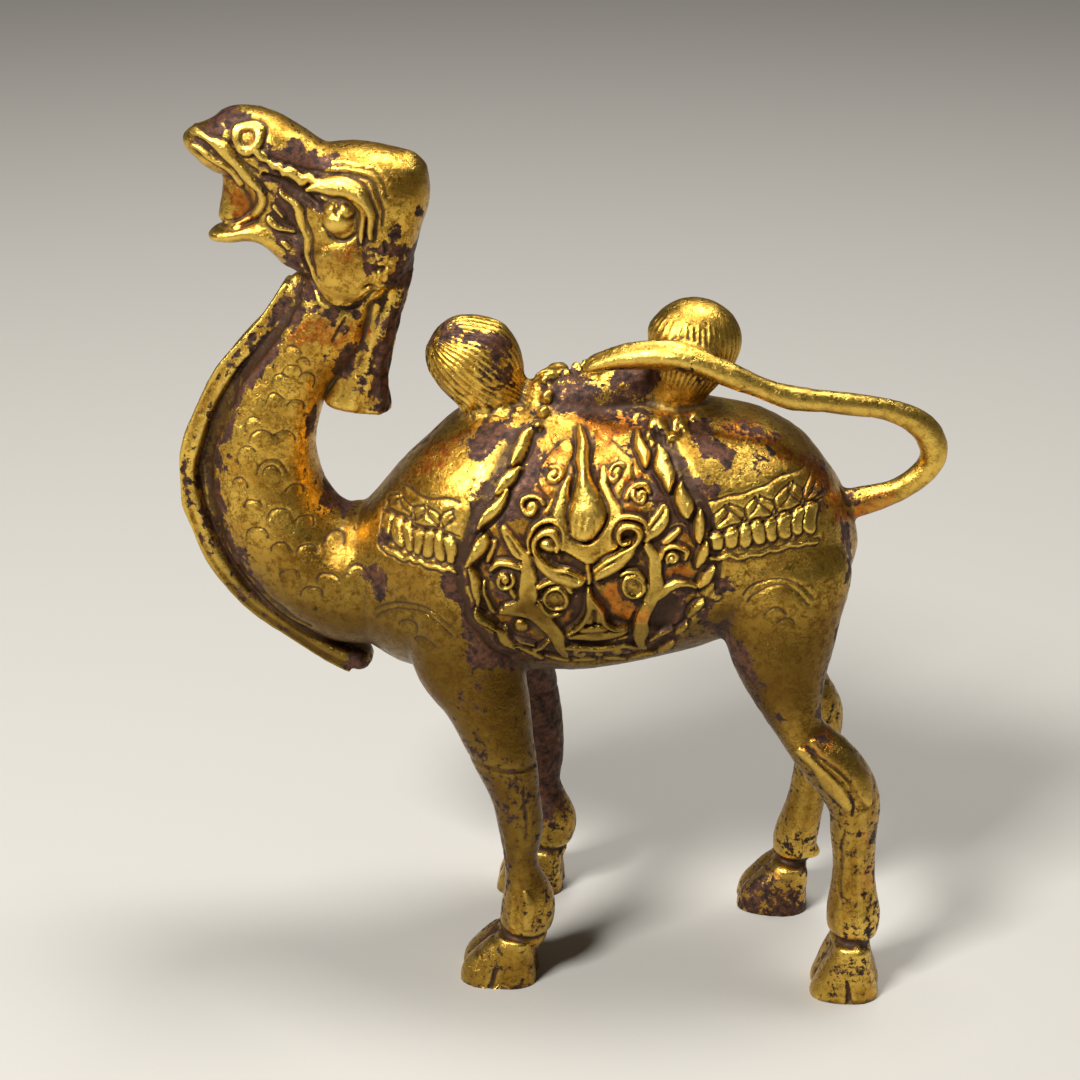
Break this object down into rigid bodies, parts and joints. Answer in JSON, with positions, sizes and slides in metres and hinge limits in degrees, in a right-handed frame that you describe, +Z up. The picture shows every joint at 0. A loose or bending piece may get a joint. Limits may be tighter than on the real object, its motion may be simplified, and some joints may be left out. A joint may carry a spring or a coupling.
{
  "type": "bronze camel statue",
  "caption": "Standing gilt bronze camel with its head raised and mouth open, a mask on each flap of the saddle and the tail curled forward over the rump.",
  "frame": {"origin": "centre of the bounding box's underside, on the ground that the four feet stand on", "axes": "+Z up; the head points to -X and the tail to +X; the near flank, the camel's left, faces -Y"},
  "size_m": [0.1027, 0.0346, 0.1195],
  "materials": {
    "gilt_bronze": "worn fire gilding over cast bronze, with purple-brown patina in the hollows and red copper tones where the gold is thin"
  },
  "bodies": {
    "root": {"camel": "gilt_bronze"}
  },
  "joints": []
}
